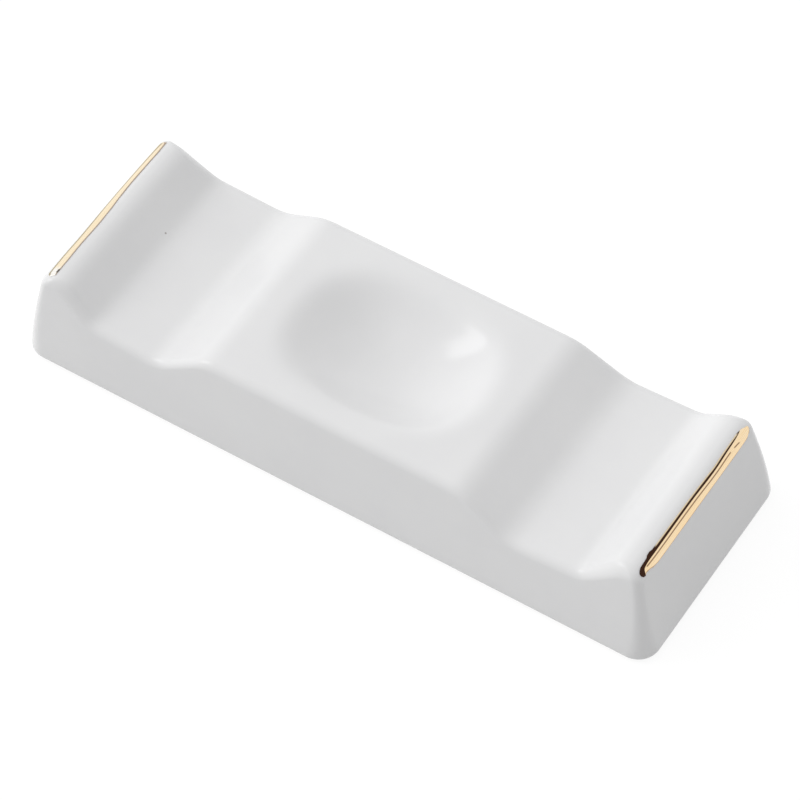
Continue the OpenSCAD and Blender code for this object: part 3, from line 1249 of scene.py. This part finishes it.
@dataclass(frozen=True)
class Studio:
    """White ground, soft light and the camera.

    The camera looks at the aim from its distance, with its turn, rise and roll in degrees. The ground shows
    its glow and a share of its own shading.
    """

    aim: tuple[float, float, float] = (2.4903 * MM, -2.0547 * MM, 8 * MM)
    turn: float = 36.0262
    rise: float = 53.579
    roll: float = -3.8088
    distance: float = 546.45 * MM
    lens: float = 183.96
    sensor: float = 36.0
    near_clip: float = 10 * MM
    ground_size: float = 4.0
    ground_glow: float = 0.87
    ground_share: float = 0.3
    ground_colour: Colour = opaque(0.6, 0.6, 0.6)
    sky: float = 0.43
    glows: tuple[SkyGlow, ...] = (
        SkyGlow((-0.94, 0.0, 0.342), 0.786),
        SkyGlow((-0.814, -0.47, 0.342), 0.629),
        SkyGlow((0.47, 0.814, 0.342), 0.499),
        SkyGlow((-0.332, -0.332, 0.883), 0.201),
        SkyGlow((0.235, 0.407, 0.883), 0.11),
    )
    key: Softbox = Softbox("key_box", towards=(-0.747, -0.303, 0.592), distance=0.8, size=0.28, power=0.66)

    def set_up(self) -> None:
        """Make the ground, the light and the camera."""
        bpy.context.scene.view_settings.view_transform = "Standard"
        self.lay_ground()
        self.light_sky()
        self.key.hang(Vector(self.aim))
        self.place_camera()

    @staticmethod
    def seen(wires: Wiring) -> NodeSocket:
        """Mask the rays that show the ground and the sky: from the camera, from gloss and through glass.

        Args:
            wires: Tree that the mask is added to.

        Returns:
            A mask that is 1 for those rays.
        """
        path = wires.add("ShaderNodeLightPath").outputs
        shown = wires.math("MAXIMUM", path["Is Camera Ray"], path["Is Glossy Ray"])
        return wires.math("MAXIMUM", shown, path["Is Transmission Ray"])

    def lay_ground(self) -> None:
        """Lay a plain floor that shows white, keeps the shadow and is clear from below."""
        bm = bmesh.new()
        bmesh.ops.create_grid(bm, x_segments=1, y_segments=1, size=self.ground_size / 2)
        mesh = bpy.data.meshes.new("floor")
        bm.to_mesh(mesh)
        bm.free()
        ground = bpy.data.objects.new("floor", mesh)
        bpy.context.scene.collection.objects.link(ground)
        made = bpy.data.materials.new("white ground")
        made.use_nodes = True
        wires = Wiring(made.node_tree)
        matte = wires.add("ShaderNodeBsdfDiffuse", {"Color": self.ground_colour}).outputs[0]
        glow = wires.add("ShaderNodeEmission", {"Strength": self.ground_glow}).outputs[0]
        clear = wires.add("ShaderNodeBsdfTransparent").outputs[0]
        # With nothing mixed in, the share only weakens the ground's own shading.
        faint = wires.add("ShaderNodeMixShader", {0: self.ground_share, 2: matte}).outputs[0]
        shown = wires.add("ShaderNodeAddShader", {0: glow, 1: faint}).outputs[0]
        lit = wires.add("ShaderNodeMixShader", {0: self.seen(wires), 1: matte, 2: shown}).outputs[0]
        below = wires.add("ShaderNodeNewGeometry").outputs["Backfacing"]
        either = wires.add("ShaderNodeMixShader", {0: below, 1: lit, 2: clear}).outputs[0]
        wires.add("ShaderNodeOutputMaterial", {"Surface": either})
        mesh.materials.append(made)

    def light_sky(self) -> None:
        """Light the rest from all round, and show plain white behind it."""
        world = bpy.data.worlds.new("studio")
        world.use_nodes = True
        wires = Wiring(world.node_tree)
        way = wires.add("ShaderNodeTexCoord").outputs["Generated"]
        level: Any = self.sky
        for glow in self.glows:
            level = wires.math("ADD", level, glow.add_to(wires, way))
        paper = opaque(1.0, 1.0, 1.0)
        white = wires.add("ShaderNodeBackground", {"Color": paper}).outputs[0]
        around = wires.add("ShaderNodeBackground", {"Color": paper, "Strength": level}).outputs[0]
        either = wires.add("ShaderNodeMixShader", {0: self.seen(wires), 1: around, 2: white}).outputs[0]
        wires.add("ShaderNodeOutputWorld", {"Surface": either})
        bpy.context.scene.world = world

    def place_camera(self) -> None:
        """Place the camera at the photograph's angle."""
        lens = bpy.data.cameras.new("camera")
        lens.lens = self.lens
        lens.sensor_width = self.sensor
        lens.clip_start = self.near_clip
        camera = bpy.data.objects.new("camera", lens)
        camera.matrix_world = (
            Matrix.Translation(self.aim)
            @ Matrix.Rotation(math.radians(self.turn), 4, "Z")
            @ Matrix.Rotation(math.radians(90 - self.rise), 4, "X")
            @ Matrix.Rotation(math.radians(self.roll), 4, "Z")
            @ Matrix.Translation((0.0, 0.0, self.distance))
        )
        bpy.context.scene.collection.objects.link(camera)
        bpy.context.scene.camera = camera


def left_gilt(form: RestForm, effects: SharedEffects) -> GiltLine:
    """Describe the left line: pale, with faint outlines along its edges, a painted highlight that whitens its
    tip, and a dark mark.

    Args:
        form: Form that it lies on.
        effects: Shared node groups.

    Returns:
        The line, ready to build.
    """
    # Painted highlight: the near end of the gold is coloured near white where light glints on it as it turns
    # down.
    highlight_tip = FiredLineOrHighlight(
        HandLine(((-15, 20), (-11.2, 20))),
        half=30, colour=opaque(0.97, 0.97, 0.95), fade=1.2 * MM,
    )
    hem = FiredLineOrHighlight(
        HandLine((
            (-13.5, 29), (-12.4, 31), (-11.7, 32.5), (-9, 35), (-5.7, 34.5), (-2.8, 37), (0, 41), (4, 43),
            (9, 41), (12, 37), (13.1, 32),
        )),
        half=4.2, colour=opaque(0.36, 0.29, 0.16),
    )
    mark = FiredLineOrHighlight(
        HandLine(((-12.9, 8), (-12, 8.5))),
        half=3, colour=opaque(0.06, 0.05, 0.04), fade=0.2 * MM,
    )
    finish = FiredGold(
        "gilt of the left ridge", effects,
        outline=HandLine((
            (-13.5, 12), (-13.1, 10), (-12.7, 9), (-11, 9), (-7, 11.8), (-2.7, 10.8), (0, 13.3), (2.4, 17.8),
            (5, 20.8), (9.3, 20.6), (11.7, 20), (12.9, 22.5), (13.3, 36), (13.6, 40),
        )),
        lines=(highlight_tip, hem),
        marks=(mark,),
        outline_colour=opaque(0.5, 0.4, 0.31),
        pale=opaque(0.97, 0.86, 0.67),
        gold=opaque(0.96, 0.79, 0.52),
    )
    upper = HandLine((
        (-13.5, 13), (-13.2, 8), (-12.7, 6), (-11, 6.5), (-7, 9), (-2.7, 8), (0, 10.5), (2.4, 15), (5, 18),
        (9.3, 17.8), (11.7, 16.5), (12.9, 17.5), (13.4, 23), (13.6, 28),
    ))
    lower = HandLine((
        (-13.5, 29), (-13.1, 32.5), (-12.4, 34.5), (-11.7, 36), (-9, 38.5), (-5.7, 38), (-2.8, 41), (0, 46),
        (4, 50), (9, 49), (12, 45), (13.1, 38), (13.6, 30),
    ))
    return GiltLine(form, Side.LEFT, upper, lower, finish)


def right_gilt(form: RestForm, effects: SharedEffects) -> GiltLine:
    """Describe the right line: a dark upper outline that ends in a blot, a pale fringe, a seam and a brown
    hem.

    Args:
        form: Form that it lies on.
        effects: Shared node groups.

    Returns:
        The line, ready to build.
    """
    lower = HandLine((
        (-12.95, 45), (-12.8, 52), (-12.5, 58), (-12.2, 60), (-11.9, 55), (-11.4, 57), (-10.2, 65),
        (-9.5, 68), (-8, 68.5), (0, 68), (8, 68), (11.5, 66), (12.4, 58), (12.9, 50), (13.1, 45),
    ))
    seam_course = HandLine(
        ((-11.6, 43.5), (-10, 45), (-8, 45.3), (0, 45.2), (5, 48), (8.7, 45.8), (9.2, 46.5), (10.6, 50.5))
    )
    fringe = FiredLineOrHighlight(
        HandLine(((-9, 26.6), (-4, 27.2), (0, 27.6), (4, 29.8), (5.3, 30.8), (8, 28.2), (11.6, 27))),
        half=2.4, colour=opaque(0.9, 0.74, 0.5), fade=0.6 * MM,
    )
    finish = FiredGold(
        "gilt of the right ridge", effects,
        outline=HandLine((
            (-12.95, 70), (-12.2, 62), (-11.9, 42), (-11, 38.5), (-9, 37.8), (-4, 36.8), (0, 36.8), (5, 39.4),
            (8, 36.4), (11, 32.5), (11.9, 29), (13.1, 22),
        )),
        lines=(
            FiredLineOrHighlight(seam_course, half=2.0, colour=opaque(0.16, 0.07, 0.04), gap=(8.7, 9.2)),
            FiredLineOrHighlight(lower, half=2.4, colour=opaque(0.42, 0.25, 0.12)),
        ),
        marks=(fringe,),
    )
    upper = HandLine((
        (-12.95, 39), (-12.75, 34), (-12.3, 29.5), (-11.4, 28.5), (-10.8, 27.5), (-10.5, 23.8), (-9.9, 23),
        (-9.4, 26), (-8.8, 26.2), (-4, 26.4), (0, 26.8), (4, 29), (5.3, 30), (8, 27.4), (11.5, 26.5),
        (12.2, 29.5), (12.8, 36), (13.1, 40),
    ))
    return GiltLine(form, Side.RIGHT, upper, lower, finish)


def main() -> None:
    """Build the rest and the studio round it."""
    logging.basicConfig(level=logging.INFO, format="%(message)s")
    form = RestForm()
    effects = SharedEffects()
    Studio().set_up()
    ClayBody(form).dress(BareClay("bare clay", effects).material())
    GlazeCoats(form).dress(WhiteGlaze("white glaze", effects).material())
    left_gilt(form, effects).dress()
    right_gilt(form, effects).dress()


if __name__ == "__main__":
    main()
